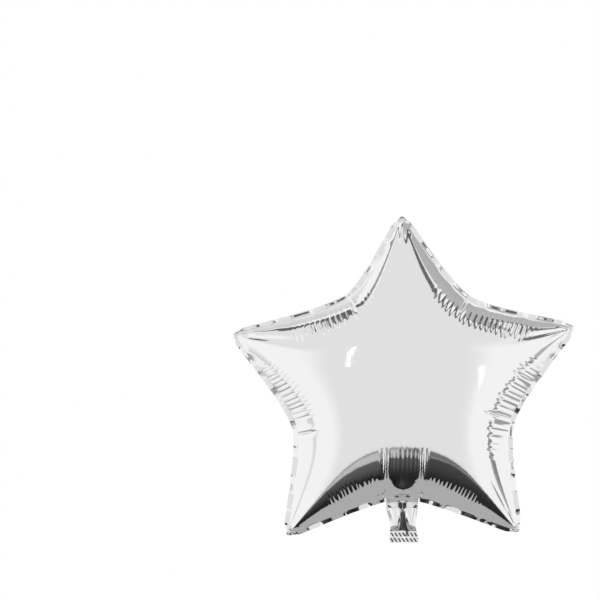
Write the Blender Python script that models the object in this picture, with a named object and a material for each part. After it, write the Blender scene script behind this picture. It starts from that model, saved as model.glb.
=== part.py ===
"""Star foil balloon, blown up: two metallised films welded round a star, with a filling tail.

Metres, +Z up. The star stands upright with its face towards -Y and its tail down, and the weld lies
in the plane Y = 0. The origin is the middle of the tail's waist, where a ribbon is tied. Sizes of
the star are measured from its centre, and angles clockwise from its top arm, seen from the front.
"""
import math

import bmesh
import bpy
import numpy as np

# Outline of the weld, from the star's centre: the arms' tips, clockwise from the top one
TOP_ARM = 0.208
RIGHT_ARM = 0.221
LOWER_RIGHT_ARM = 0.224
LOWER_LEFT_ARM = 0.226
LEFT_ARM = 0.215
TIP_REACH = (TOP_ARM, RIGHT_ARM, LOWER_RIGHT_ARM, LOWER_LEFT_ARM, LEFT_ARM)
TIP_LEANS = (0.0, -1.5, -3.0, 2.0, -0.5)      # degrees clockwise of their even places
ARMS = len(TIP_REACH)

# The notches between the arms. Each lies clockwise of the arm with the same number
UPPER_RIGHT_NOTCH = 0.137
RIGHT_NOTCH = 0.141
BOTTOM_NOTCH = 0.133
LEFT_NOTCH = 0.140
UPPER_LEFT_NOTCH = 0.130
NOTCH_REACH = (UPPER_RIGHT_NOTCH, RIGHT_NOTCH, BOTTOM_NOTCH, LEFT_NOTCH, UPPER_LEFT_NOTCH)
NOTCH_LEANS = (0.0, -1.0, 0.0, -1.0, 4.5)
UPPER_RIGHT, RIGHT, BOTTOM, LEFT, UPPER_LEFT = range(ARMS)
TIP_ROUNDING = 0.020      # radians over which a tip is rounded
NOTCH_ROUNDING = 0.100    # radians over which a notch is rounded

# The swell of each film
HALF_DEPTH = 0.072        # from the weld's plane to the crown of one film
CROWN_FLAT = 0.0008       # the back's crown is cut flat this far below its peak, for a glue pad
SOURCE_COUNT = 260        # point loads that hold the film down to the weld, in a ring outside it
SOURCE_OFFSET = 0.0110
ERROR_POWER = 16          # the fit's small errors on the weld fade inwards with this power

# The welded hem round the star
HEM_THICKNESS = 0.0010
HEM_WIDTH = 0.0050
RUFFLE_DEPTH = 0.0016
RUFFLE_REACH = 0.014      # how far in from the weld the ruffle is felt
RUFFLE_WAVES = (53, 19)   # quick and slow waves round the whole star
QUICK_SHARE = 0.6         # share of the ruffle that is in the quick waves

# Gathers: fine pleats square to the weld, on the shoulder beside each notch
GATHER_PITCH = 0.0070
GATHER_DEPTH = 0.0008
GATHER_BAND = (0.008, 0.020, 0.040)   # inset where they are full, begin to fade and end
GATHERS_A_SIDE = 8
GATHER_STEADY = 0.3       # share of their run beside the notch over which they keep their depth

# Sharp folds over the shoulder: notch, place along the weld clockwise of it, length inward, depth
FOLD_HALF_WIDTH = 0.0045
FOLD_START = 0.004        # a fold grows to its full depth over this inset from the weld
NOTCH_FOLDS = (
    (UPPER_RIGHT, 0.000, 0.034, 0.0030),
    (RIGHT, -0.021, 0.046, 0.0034),
    (RIGHT, 0.014, 0.046, 0.0034),
    (LEFT, 0.000, 0.040, 0.0030),
    (UPPER_LEFT, 0.000, 0.030, 0.0030),
)

# The filling tail, welded shut at its end
TAIL_STATIONS = 6         # pleat lines on each side of the bottom notch that run on into the tail
TAIL_WAIST = 0.164        # centre to the narrowest place, which is tied
TAIL_END = 0.192          # centre to the welded end
WAIST_HALF_WIDTH = 0.0160
END_HALF_WIDTH = 0.0177
TAIL_LEAN = 0.0025        # the end lies this far to the right of the mouth
TAIL_ROWS = 9
TAIL_DEPTH = 0.0065       # how far each film stands off the weld's plane where the tail begins
LIP_DEPTH = 0.0050        # the film over the mouth hangs over the tail in a pointed lip
LIP_LENGTH = 0.010
TAIL_CRUMPLE = 0.0020
MOUTH_REACH = 0.030       # how far up the face the mouth's opening is felt
# Shares of the tail's length, from its mouth
TAIL_BLEND = 0.25         # the mouth's outline goes over to the tail's own by here
TAIL_PINCH = (0.05, 0.35) # its round section is drawn in to two lobes between these
TAIL_PRESS = (0.55, 0.90) # the lobes are pressed flat between these
TAIL_CREASED = 0.5        # it is crumpled from here on
LOBE_SHARE = 0.8          # the lobes' depth as a share of the tail's
TAIL_FOLD_REACH = 0.058   # the two upright folds over the tail run this far up the face
TAIL_FOLD_DEPTH = 0.0024

# Lattice of the films: pleat lines run from the weld to the ridge of their arm
PLAIN_STATIONS = 10       # pleat lines between the gathers and the tip
FILM_ROWS = 9
EVEN_ROWS = 0.45          # 0 crowds the rows towards the weld, 1 crowds them at both ends
RIDGE_START = 0.22        # share of the ridge that a line square to the weld at a notch would meet
RIDGE_FAN = 8             # how soon the pleat lines turn square to the weld beside a notch
TIP_INSET = 0.005         # the ridge stops this far short of the tip

SECTOR = math.pi / ARMS
STATION_STEP = GATHER_PITCH / 2.0
GATHER_STATIONS = 2 * GATHERS_A_SIDE
GATHER_RUN = GATHER_STATIONS * STATION_STEP
STATIONS = GATHER_STATIONS + PLAIN_STATIONS
MOUTH_HALF_WIDTH = TAIL_STATIONS * STATION_STEP
TABLE_STEPS = 6000


def ease(low, high, value):
    """0 below low, 1 above high and an even curve between."""
    share = np.clip((value - low) / (high - low), 0.0, 1.0)
    return share * share * (3.0 - 2.0 * share)


def soft_size(angle, rounding):
    """The size of an angle, rounded off where it passes through nought."""
    return np.sqrt(angle ** 2 + rounding ** 2) - rounding


def weld_corners():
    """Angles and reaches of the tips and notches by turns, once round from the top tip and back."""
    leans = np.radians(np.column_stack((TIP_LEANS, NOTCH_LEANS)).ravel())
    reach = np.column_stack((TIP_REACH, NOTCH_REACH)).ravel()
    angle = SECTOR * np.arange(2 * ARMS) + leans
    return np.append(angle, angle[0] + 2.0 * math.pi), np.append(reach, reach[0])


CORNER_ANGLE, CORNER_REACH = weld_corners()
CORNER_ROUNDING = np.resize((TIP_ROUNDING, NOTCH_ROUNDING), 2 * ARMS + 1)
TIP_ANGLE, NOTCH_ANGLE = CORNER_ANGLE[:-1:2], CORNER_ANGLE[1::2]


def weld_reach(angle):
    """Distance of the weld from the centre: straight runs between rounded corners."""
    turned = (angle - CORNER_ANGLE[0]) % (2.0 * math.pi) + CORNER_ANGLE[0]
    before = np.clip(np.searchsorted(CORNER_ANGLE, turned, side="right") - 1, 0, 2 * ARMS - 1)
    start, end = CORNER_REACH[before], CORNER_REACH[before + 1]
    run = CORNER_ANGLE[before + 1] - CORNER_ANGLE[before]
    from_start = soft_size(turned - CORNER_ANGLE[before], CORNER_ROUNDING[before])
    from_end = soft_size(CORNER_ANGLE[before + 1] - turned, CORNER_ROUNDING[before + 1])
    turn = run * from_start / (from_start + from_end)
    return start * end * np.sin(run) / (end * np.sin(run - turn) + start * np.sin(turn))


def weld_place(angle):
    """Points on the weld, as X and Z."""
    return weld_reach(angle)[..., None] * np.stack((np.sin(angle), np.cos(angle)), axis=-1)


def weld_out(angle):
    """Directions in the weld's plane that point straight out of the star."""
    step = 0.002
    run = weld_place(angle + step) - weld_place(angle - step)
    out = np.stack((-run[..., 1], run[..., 0]), axis=-1)
    return out / np.linalg.norm(out, axis=-1, keepdims=True)


def measure_weld():
    """Angles round the star and the distance along the weld that each stands at."""
    angle = np.linspace(0.0, 2.0 * math.pi, TABLE_STEPS + 1)
    steps = np.linalg.norm(np.diff(weld_place(angle), axis=0), axis=-1)
    return angle, np.concatenate(([0.0], np.cumsum(steps)))


TABLE_ANGLE, TABLE_ALONG = measure_weld()
WELD_LENGTH = TABLE_ALONG[-1]


def angle_at(along):
    """Angle of the places that stand at the given distances along the weld."""
    turns = np.floor(along / WELD_LENGTH)
    rest = along - turns * WELD_LENGTH
    return np.interp(rest, TABLE_ALONG, TABLE_ANGLE) + turns * 2.0 * math.pi


def ring_of_sources():
    """Places of the point loads, in a ring outside the weld."""
    angle = angle_at(np.arange(SOURCE_COUNT) * WELD_LENGTH / SOURCE_COUNT)
    return weld_place(angle) + SOURCE_OFFSET * weld_out(angle)


def source_terms(place):
    """What each point load adds at the given places, and an even rise of the whole film."""
    apart = np.linalg.norm(place[..., None, :] - SOURCES, axis=-1)
    return np.concatenate((np.log(apart), np.ones(apart.shape[:-1] + (1,))), axis=-1)


def fit_loads():
    """The point loads under which an evenly blown film is level along the weld."""
    angle = TABLE_ANGLE[:-1:5]
    place = weld_place(angle)
    bulge = (place ** 2).sum(axis=-1) / 4.0
    return np.linalg.lstsq(source_terms(place), bulge, rcond=1e-9)[0]


SOURCES = ring_of_sources()
LOADS = fit_loads()


def even_film(place):
    """An evenly blown film before its small errors along the weld are taken away."""
    return source_terms(place) @ LOADS - (place ** 2).sum(axis=-1) / 4.0


def swell(place):
    """Shape of a film under even pressure: nought on the weld and greatest near the centre."""
    angle = np.arctan2(place[..., 0], place[..., 1]) % (2.0 * math.pi)
    share = np.linalg.norm(place, axis=-1) / weld_reach(angle)
    error = even_film(weld_place(angle)) * share ** ERROR_POWER
    return np.maximum(even_film(place) - error, 0.0)


LIFT = HALF_DEPTH ** 2 / swell(np.zeros(2))


def film_height(place):
    """Height of a film over the weld's plane, which it leaves square."""
    return np.sqrt(LIFT * swell(place))


def film_out(place):
    """Outward direction of a film: its parts in the weld's plane, and the part away from it."""
    step = 0.0004
    slopes = []
    for shift in ((step, 0.0), (0.0, step)):
        slopes.append((swell(place + shift) - swell(place - shift)) * LIFT / (4.0 * step))
    parts = np.stack((-slopes[0], -slopes[1], film_height(place)), axis=-1)
    parts /= np.maximum(np.linalg.norm(parts, axis=-1, keepdims=True), 1e-9)
    return parts[..., :2], parts[..., 2]


def notch_beside(arm, hand):
    """Number of the notch beside an arm, clockwise of it (hand 1) or the other way (hand -1)."""
    return arm if hand > 0 else (arm - 1) % ARMS


def stations(arm, hand):
    """Distances along the weld of an edge's pleat lines, from its notch to its tip."""
    ends = np.array((NOTCH_ANGLE[notch_beside(arm, hand)], TIP_ANGLE[arm]))
    notch, tip = np.interp(ends % (2.0 * math.pi), TABLE_ANGLE, TABLE_ALONG)
    length = hand * (notch - tip) % WELD_LENGTH
    gathered = np.arange(GATHER_STATIONS) * STATION_STEP
    plain = np.linspace(GATHER_RUN, length, PLAIN_STATIONS + 1)
    return notch, np.concatenate((gathered, plain))


def ridge_places(arm):
    """Where an arm's pleat lines meet its ridge, which runs from the centre to the tip."""
    middling = stations(1, 1)[1]
    share = middling / middling[-1]
    along = (RIDGE_START + (1.0 - RIDGE_START) * share) * (1.0 - (1.0 - share) ** RIDGE_FAN)
    heading = (math.sin(TIP_ANGLE[arm]), math.cos(TIP_ANGLE[arm]))
    return (along * (TIP_REACH[arm] - TIP_INSET))[:, None] * heading


def row_shares():
    """Where the rows lie along a pleat line, from the weld (0) to the ridge (1)."""
    row = np.arange(FILM_ROWS + 1) / FILM_ROWS
    return (1.0 - EVEN_ROWS) * row ** 2 + EVEN_ROWS * np.sin(row * math.pi / 2.0) ** 2


def ruffle(along):
    """How far the hem waves out of its plane."""
    turn = 2.0 * math.pi * along / WELD_LENGTH
    quick, slow = RUFFLE_WAVES
    return RUFFLE_DEPTH * (QUICK_SHARE * np.sin(quick * turn) + (1.0 - QUICK_SHARE) * np.sin(slow * turn))


def gathers(beside, inset):
    """Rise of the fine pleats, at a distance beside the notch and an inset from the weld."""
    full, fading, end = GATHER_BAND
    band = ease(0.0, full, inset) * (1.0 - ease(fading, end, inset))
    strength = 1.0 - ease(GATHER_STEADY * GATHER_RUN, GATHER_RUN, beside)
    return GATHER_DEPTH * band * strength * np.cos(2.0 * math.pi * beside / GATHER_PITCH)


def sharp_fold(aside, inset, reach, depth):
    """Depth of one sharp fold, at a distance aside of it and an inset from the weld."""
    across = np.maximum(1.0 - np.abs(aside) / FOLD_HALF_WIDTH, 0.0)
    return depth * across * ease(0.0, FOLD_START, inset) * (1.0 - ease(reach / 2.0, reach, inset))


def tail_folds(place):
    """Depth of the two upright folds that run up the face from the tail's sides."""
    height = place[..., 1] + BOTTOM_NOTCH
    fading = 1.0 - ease(TAIL_FOLD_REACH / 2.0, TAIL_FOLD_REACH, height)
    aside = np.abs(np.abs(place[..., 0]) - MOUTH_HALF_WIDTH)
    return TAIL_FOLD_DEPTH * np.maximum(1.0 - aside / FOLD_HALF_WIDTH, 0.0) * fading


def mouth_depth(x):
    """How far each film stands off the weld's plane across the tail's mouth."""
    return TAIL_DEPTH * np.sqrt(np.maximum(1.0 - (x / MOUTH_HALF_WIDTH) ** 2, 0.0))


def film_lattice(arm, hand, side):
    """Corners of one edge's lattice. Row 0 is the hem's outer edge, row 1 the weld."""
    notch_number = notch_beside(arm, hand)
    notch, beside = stations(arm, hand)
    along = notch - hand * beside
    angle = angle_at(along)
    weld, out = weld_place(angle), weld_out(angle)
    wave = ruffle(along)
    mouth = np.zeros_like(along)
    if notch_number == BOTTOM:
        mouth[:TAIL_STATIONS] = mouth_depth(weld[:TAIL_STATIONS, 0])
        wave[:TAIL_STATIONS] = 0.0

    share = row_shares()
    across = ridge_places(arm) - weld
    flat = weld[:, None, :] + across[:, None, :] * share[:, None]
    inset = np.linalg.norm(across, axis=-1)[:, None] * share
    rise = gathers(beside[:, None], inset)
    for number, place, reach, depth in NOTCH_FOLDS:
        if number == notch_number:
            rise -= sharp_fold((along - notch - place)[:, None], inset, reach, depth)
    if notch_number == BOTTOM:
        rise -= tail_folds(flat) * ease(0.0, FOLD_START, inset)

    out_flat, out_away = film_out(flat)
    opening = mouth[:, None] * (1.0 - ease(0.0, MOUTH_REACH, inset))
    away = HEM_THICKNESS / 2.0 + np.hypot(film_height(flat), opening) + rise * out_away
    flat = flat + rise[..., None] * out_flat
    depth = side * away + wave[:, None] * (1.0 - share) * (1.0 - ease(0.0, RUFFLE_REACH, inset))
    film = np.stack((flat[..., 0], depth, flat[..., 1]), axis=-1)

    hem_flat = weld + out * HEM_WIDTH
    hem_depth = side * (HEM_THICKNESS / 2.0 + mouth) + wave
    hem = np.stack((hem_flat[:, 0], hem_depth, hem_flat[:, 1]), axis=-1)
    return np.concatenate((hem[:, None, :], film), axis=1)


def tail_half_width(share):
    """Half width of the tail from its mouth (0) over its waist to its welded end (1)."""
    waist = (TAIL_WAIST - BOTTOM_NOTCH) / (TAIL_END - BOTTOM_NOTCH)
    narrowed = MOUTH_HALF_WIDTH + (WAIST_HALF_WIDTH - MOUTH_HALF_WIDTH) * ease(0.0, waist, share)
    return narrowed + (END_HALF_WIDTH - WAIST_HALF_WIDTH) * ease(waist, 1.0, share)


def tail_lattice(side):
    """Corners of one film of the tail. Row 0 is the hem's edge across the mouth."""
    right = film_lattice(BOTTOM, 1, side)[TAIL_STATIONS:0:-1, 0]
    left = film_lattice(BOTTOM + 1, -1, side)[:TAIL_STATIONS + 1, 0]
    top = np.concatenate((right, left))[:, None, :]
    across = np.linspace(1.0, -1.0, 2 * TAIL_STATIONS + 1)[:, None]
    share = np.arange(TAIL_ROWS + 1) / TAIL_ROWS
    widened = ease(0.0, TAIL_BLEND, share)
    x = top[..., 0] * (1.0 - widened) + across * tail_half_width(share) * widened
    x = x + TAIL_LEAN * ease(0.0, 1.0, share)
    z = top[..., 2] - (TAIL_END + top[..., 2]) * share
    pinched = ease(*TAIL_PINCH, share)
    round_part = np.sqrt(np.maximum(1.0 - across ** 2, 0.0)) * (1.0 - pinched)
    lobes = LOBE_SHARE * np.sin(math.pi * across) ** 2 * pinched * (1.0 - ease(*TAIL_PRESS, share))
    below_mouth = share * (TAIL_END - BOTTOM_NOTCH)
    lip = LIP_DEPTH * ease(0.0, 0.4, 1.0 - np.abs(across) - below_mouth / LIP_LENGTH) * (share > 0.0)
    crumple = TAIL_CRUMPLE * np.sin(1.5 * math.pi * across + 0.6) * ease(TAIL_CREASED, 1.0, share)
    y = side * (HEM_THICKNESS / 2.0 + TAIL_DEPTH * (round_part + lobes) + lip) + crumple
    lattice = np.stack((x, y, z), axis=-1)
    lattice[:, 0] = top[:, 0]
    return lattice


def bend_grid(bm, lattice):
    """Adds a grid and moves each of its corners to its place in the lattice."""
    columns, rows = lattice.shape[0] - 1, lattice.shape[1] - 1
    made = bmesh.ops.create_grid(bm, x_segments=columns, y_segments=rows, size=1.0)
    for vert in made["verts"]:
        column = round((vert.co.x + 1.0) / 2.0 * columns)
        row = round((vert.co.y + 1.0) / 2.0 * rows)
        vert.co = lattice[column, row] + (0.0, 0.0, TAIL_WAIST)


def flatten_crown(bm):
    """Cuts the peak of the back's crown off flat and closes the cut."""
    level = HEM_THICKNESS / 2.0 + HALF_DEPTH - CROWN_FLAT
    parts = list(bm.verts) + list(bm.edges) + list(bm.faces)
    upright = (0.0, 1.0, 0.0)
    point = (0.0, level, 0.0)
    cut = bmesh.ops.bisect_plane(bm, geom=parts, plane_co=point, plane_no=upright, clear_outer=True)
    rim = [part for part in cut["geom_cut"] if isinstance(part, bmesh.types.BMEdge)]
    bmesh.ops.edgeloop_fill(bm, edges=rim)


def make_envelope():
    """The two films, joined all round the hem and the tail into one closed body."""
    bm = bmesh.new()
    for side in (-1, 1):
        for arm in range(ARMS):
            for hand in (-1, 1):
                bend_grid(bm, film_lattice(arm, hand, side))
        bend_grid(bm, tail_lattice(side))
    bmesh.ops.remove_doubles(bm, verts=bm.verts, dist=0.00002)
    rims = [edge for edge in bm.edges if edge.is_boundary]
    bmesh.ops.bridge_loops(bm, edges=rims)
    flatten_crown(bm)
    bmesh.ops.recalc_face_normals(bm, faces=bm.faces)
    mesh = bpy.data.meshes.new("star_envelope")
    bm.to_mesh(mesh)
    bm.free()
    mesh.shade_smooth()
    mesh.set_sharp_from_angle(angle=math.radians(50.0))
    return mesh


def foil_material():
    """Bright silver metallised film."""
    material = bpy.data.materials.new("silver_foil")
    material.use_nodes = True
    shader = material.node_tree.nodes["Principled BSDF"]
    shader.inputs["Base Color"].default_value = (0.86, 0.86, 0.87, 1.0)
    shader.inputs["Metallic"].default_value = 1.0
    shader.inputs["Roughness"].default_value = 0.08
    return material


def main():
    for thing in list(bpy.data.objects):
        bpy.data.objects.remove(thing, do_unlink=True)
    mesh = make_envelope()
    mesh.materials.append(foil_material())
    envelope = bpy.data.objects.new("star_envelope", mesh)
    bpy.context.collection.objects.link(envelope)
    places = np.array([vert.co for vert in mesh.vertices])
    size = " x ".join(f"{1000.0 * length:.1f}" for length in np.ptp(places, axis=0))
    print(f"star_envelope: {size} mm, {len(mesh.polygons)} faces")


main()
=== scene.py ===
# %% [markdown]
# A silver star foil balloon
#
# A foil balloon is two sheets of thin plastic film, coated with aluminium, that are cut to one
# outline, welded together round their edge and blown up through a tail. The film hardly stretches,
# so it swells into a cushion whose edge has to give way in small gathers. The whole look comes
# from that shape and from what the mirror-like film reflects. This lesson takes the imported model
# as a fixed frame, builds the film once more at a far finer scale, and lights it in a pale studio.

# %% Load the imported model
import math
from collections import namedtuple
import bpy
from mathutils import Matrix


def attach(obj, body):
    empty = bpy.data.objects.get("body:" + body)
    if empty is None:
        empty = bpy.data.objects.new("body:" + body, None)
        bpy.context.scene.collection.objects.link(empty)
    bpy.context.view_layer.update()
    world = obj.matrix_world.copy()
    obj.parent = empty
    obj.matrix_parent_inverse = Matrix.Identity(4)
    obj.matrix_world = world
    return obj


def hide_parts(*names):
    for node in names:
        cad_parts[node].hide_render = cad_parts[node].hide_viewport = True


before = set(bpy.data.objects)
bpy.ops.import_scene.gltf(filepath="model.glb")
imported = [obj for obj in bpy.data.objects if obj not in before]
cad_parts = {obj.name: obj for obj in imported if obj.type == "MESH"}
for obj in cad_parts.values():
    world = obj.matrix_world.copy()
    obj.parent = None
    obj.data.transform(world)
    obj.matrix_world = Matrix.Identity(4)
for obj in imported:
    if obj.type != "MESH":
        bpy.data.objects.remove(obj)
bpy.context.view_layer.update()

from types import SimpleNamespace

import bmesh
import bpy
import numpy as np
from mathutils import Matrix, Vector

# %% [markdown]
# The camera
#
# The photograph looks straight at the star's face from some way off, so its edges hardly converge.
# A long lens at 2.6 m gives that. The star stands right of and below the middle of the picture. The
# camera is moved across by that much and still looks straight ahead, so no lens shift is needed.

# %% Camera
PICTURE_PIXELS = 600
PIXEL = 0.001239            # metres that one pixel covers in the plane of the weld
STAR_PIXEL = (402.0, 388.0)     # the star's centre in the picture
STAR_HEIGHT = 0.164         # from the tail's waist up to the star's centre
CAMERA_DISTANCE = 2.6
SENSOR_WIDTH = 36.0         # in millimetres, as the lens is

camera_data = bpy.data.cameras.new("camera")
camera_data.sensor_width = SENSOR_WIDTH
camera_data.lens = SENSOR_WIDTH * CAMERA_DISTANCE / (PICTURE_PIXELS * PIXEL)
camera = bpy.data.objects.new("camera", camera_data)
camera_x = (PICTURE_PIXELS / 2 - STAR_PIXEL[0]) * PIXEL
camera_z = STAR_HEIGHT + (STAR_PIXEL[1] - PICTURE_PIXELS / 2) * PIXEL
camera.location = (camera_x, -CAMERA_DISTANCE, camera_z)
camera.rotation_euler = (math.radians(90.0), 0.0, 0.0)
bpy.context.collection.objects.link(camera)
bpy.context.scene.camera = camera
print(f"lens {camera_data.lens:.1f} mm at {CAMERA_DISTANCE} m")

# %% [markdown]
# The outline of the weld
#
# The five arms and five notches of a real balloon are never quite alike, so each has its own
# distance from the centre, and some lean a few degrees aside. Between them the edge runs straight,
# with a soft corner at either end. One formula gives the distance of the weld for every angle,
# which is simpler to keep smooth than ten lines joined with arcs.

# %% Tips and notches
TOP, RIGHT, LOWER_RIGHT, LOWER_LEFT, LEFT = range(5)
ARMS = 5
SECTOR = math.pi / ARMS     # turn from an arm to the notch that follows it
BOTTOM = 2                  # the notch that the tail hangs from
# Each tip clockwise from the top one, and the notch that follows it: metres from the star's
# centre, and degrees clockwise of its even place
TIP_REACH = (0.208, 0.221, 0.224, 0.226, 0.215)
TIP_LEANS = (0.0, -1.5, -3.0, 2.0, -0.5)
NOTCH_REACH = (0.137, 0.141, 0.133, 0.140, 0.130)
NOTCH_LEANS = (0.0, -1.0, 0.0, -1.0, 4.5)
TIP_ROUNDING = 0.020        # radians from a tip within which the edge bends
NOTCH_ROUNDING = 0.100


def weld_corners():
    """Angles and reaches of the tips and notches by turns, once round from the top tip and back."""
    leans = np.radians(np.column_stack((TIP_LEANS, NOTCH_LEANS)).ravel())
    reach = np.column_stack((TIP_REACH, NOTCH_REACH)).ravel()
    angle = SECTOR * np.arange(2 * ARMS) + leans
    return np.append(angle, angle[0] + 2.0 * math.pi), np.append(reach, reach[0])


CORNER_ANGLE, CORNER_REACH = weld_corners()
CORNER_ROUNDING = np.resize((TIP_ROUNDING, NOTCH_ROUNDING), 2 * ARMS + 1)
TIP_ANGLE, NOTCH_ANGLE = CORNER_ANGLE[:-1:2], CORNER_ANGLE[1::2]
print("tips at", np.degrees(TIP_ANGLE).round(1).tolist(), "degrees")


# %% Weld as a formula
OUT_STEP = 0.002            # radians to either side, between which the edge's direction is taken


def soft_size(angle, rounding):
    """The size of an angle, rounded off where it passes through nought."""
    return np.sqrt(angle ** 2 + rounding ** 2) - rounding


def weld_reach(angle):
    """Distance of the weld from the centre, for angles clockwise from the top arm."""
    turned = (angle - CORNER_ANGLE[0]) % (2.0 * math.pi) + CORNER_ANGLE[0]
    before = np.clip(np.searchsorted(CORNER_ANGLE, turned, side="right") - 1, 0, 2 * ARMS - 1)
    start, end = CORNER_REACH[before], CORNER_REACH[before + 1]
    run = CORNER_ANGLE[before + 1] - CORNER_ANGLE[before]
    from_start = soft_size(turned - CORNER_ANGLE[before], CORNER_ROUNDING[before])
    from_end = soft_size(CORNER_ANGLE[before + 1] - turned, CORNER_ROUNDING[before + 1])
    turn = run * from_start / (from_start + from_end)
    return start * end * np.sin(run) / (end * np.sin(run - turn) + start * np.sin(turn))


def weld_place(angle):
    """Points on the weld, as X and Z from the star's centre."""
    return weld_reach(angle)[..., None] * np.stack((np.sin(angle), np.cos(angle)), axis=-1)


def weld_out(angle):
    """Directions that point straight out of the star in the weld's plane."""
    run = weld_place(angle + OUT_STEP) - weld_place(angle - OUT_STEP)
    out = np.stack((-run[..., 1], run[..., 0]), axis=-1)
    return out / np.linalg.norm(out, axis=-1, keepdims=True)


print(f"the bottom notch is {weld_reach(NOTCH_ANGLE[BOTTOM]) * 1000:.1f} mm from the centre")

# %% Distances along the weld
TABLE_STEPS = 6000          # steps once round, in which the weld is measured

table_angle = np.linspace(0.0, 2.0 * math.pi, TABLE_STEPS + 1)
table_steps = np.linalg.norm(np.diff(weld_place(table_angle), axis=0), axis=-1)
table_along = np.concatenate(([0.0], np.cumsum(table_steps)))
WELD_LENGTH = table_along[-1]


def angle_at(along):
    """Angle of the places that stand at the given distances along the weld."""
    turns = np.floor(along / WELD_LENGTH)
    rest = along - turns * WELD_LENGTH
    return np.interp(rest, table_along, table_angle) + turns * 2.0 * math.pi


print(f"the weld is {WELD_LENGTH:.3f} m round")

# %% [markdown]
# The swell of the film
#
# A film held along a line and pushed up by an even pressure takes a shape that has one known rule:
# its bulge is the same everywhere. Such a shape is the sum of a simple bowl and of many point
# loads, here in a ring just outside the weld, whose strengths are fitted so that the film lies on
# the weld. Taking the root of that bowl makes the film leave the weld square, as a blown-up
# balloon does. A cloth simulation would crumple the film in a way that the real one, with its
# clean face and neat gathers, does not show.

# %% Bulge of the film
SOURCE_COUNT = 260
SOURCE_OFFSET = 0.011       # from the weld out to the ring of point loads
FIT_EVERY = 5               # the fit takes every fifth place of the weld's table
FIT_LIMIT = 1e-9            # and leaves out patterns of loads that are weaker than this
CHUNK = 2000                # points worked out at once


def bowl_terms(place, sources):
    """What each point load adds at the given places, and an even rise of the whole film."""
    apart = np.linalg.norm(place[..., None, :] - sources, axis=-1)
    return np.concatenate((np.log(apart), np.ones(apart.shape[:-1] + (1,))), axis=-1)


source_angle = angle_at(np.arange(SOURCE_COUNT) * WELD_LENGTH / SOURCE_COUNT)
SOURCES = weld_place(source_angle) + SOURCE_OFFSET * weld_out(source_angle)
fit_place = weld_place(table_angle[:-1:FIT_EVERY])
fit_bulge = (fit_place ** 2).sum(axis=-1) / 4.0
LOADS = np.linalg.lstsq(bowl_terms(fit_place, SOURCES), fit_bulge, rcond=FIT_LIMIT)[0]


def even_film(place):
    """The bowl at the given places, worked out a few points at a time."""
    flat = place.reshape(-1, 2)
    chunks = [flat[start:start + CHUNK] for start in range(0, len(flat), CHUNK)]
    rise = np.concatenate([bowl_terms(chunk, SOURCES) @ LOADS for chunk in chunks])
    return rise.reshape(place.shape[:-1]) - (place ** 2).sum(axis=-1) / 4.0


weld_error = even_film(weld_place(table_angle))
print(f"largest slip of the film on the weld {np.abs(weld_error).max() * 1e6:.2f} square mm")

# %% Height of the film
HALF_DEPTH = 0.072          # from the weld's plane to the crown of the face
ERROR_POWER = 16            # how soon what is left of the fit's slip fades away from the weld
SLOPE_STEP = 0.0004         # distance over which the film's slope is taken
SHORTEST = 1e-9             # keeps a direction from being divided by nought


def swell(place):
    """Shape of the film under even pressure: nought on the weld and greatest near the centre."""
    angle = np.arctan2(place[..., 0], place[..., 1]) % (2.0 * math.pi)
    share = np.linalg.norm(place, axis=-1) / weld_reach(angle)
    error = np.interp(angle, table_angle, weld_error) * share ** ERROR_POWER
    return np.maximum(even_film(place) - error, 0.0)


LIFT = HALF_DEPTH ** 2 / swell(np.zeros((1, 2)))[0]


def film_shape(place):
    """Height of the film over the weld's plane, and its outward direction."""
    height = np.sqrt(LIFT * swell(place))
    slopes = []
    for shift in ((SLOPE_STEP, 0.0), (0.0, SLOPE_STEP)):
        slopes.append((swell(place + shift) - swell(place - shift)) * LIFT / (4.0 * SLOPE_STEP))
    out = np.stack((-slopes[0], -slopes[1], height), axis=-1)
    out /= np.maximum(np.linalg.norm(out, axis=-1, keepdims=True), SHORTEST)
    return height, out[..., :2], out[..., 2]


print(f"the face stands {film_shape(np.zeros((1, 2)))[0][0] * 1000:.1f} mm off the weld's plane")

# %% [markdown]
# Pleat lines
#
# Gathers and folds run square to the weld, so the mesh follows them: each pleat line starts at the
# weld and ends on the ridge in the middle of its arm. The lines are 0.7 mm apart beside a notch,
# where the gathers are, and wider towards the tip. Rows crowd towards the weld, where the film
# turns sharply. A plain square grid would cut across every gather and need ten times the faces.

# %% Pleat lines
MOUTH_HALF_WIDTH = 0.021
# Blocks of pleat lines from a notch to a tip: distance where each ends, and how many it has
LINE_BLOCKS = ((MOUTH_HALF_WIDTH, 28), (0.085, 92), (None, 42))
MOUTH_LINES = LINE_BLOCKS[0][1]


def notch_beside(arm, hand):
    """Number of the notch beside an arm, clockwise of it (hand 1) or the other way (hand -1)."""
    return arm if hand > 0 else (arm - 1) % ARMS


def pleat_lines(arm, hand):
    """An edge's notch and the distances of its pleat lines from it, up to the tip."""
    ends = np.array((NOTCH_ANGLE[notch_beside(arm, hand)], TIP_ANGLE[arm]))
    notch, tip = np.interp(ends % (2.0 * math.pi), table_angle, table_along)
    length = hand * (notch - tip) % WELD_LENGTH
    parts = [np.zeros(1)]
    for end, count in LINE_BLOCKS:
        start = parts[-1][-1]
        parts.append(np.linspace(start, end or length, count + 1)[1:])
    return notch, np.concatenate(parts)


print(sum(count for _, count in LINE_BLOCKS), "pleat lines to half an edge")

# %% Ridges and rows
FILM_ROWS = {-1: 28, 1: 16}     # rows of the front and the back film
EVEN_ROWS = 0.35            # share of the rows' spacing that is even and doesn't crowd to the weld
RIDGE_START = 0.22          # share of an arm's reach at which its ridge lets go of the centre
RIDGE_FAN = 8               # how soon the pleat lines by a notch spread from the centre
TIP_INSET = 0.005           # from a tip back to its ridge's end


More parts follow.
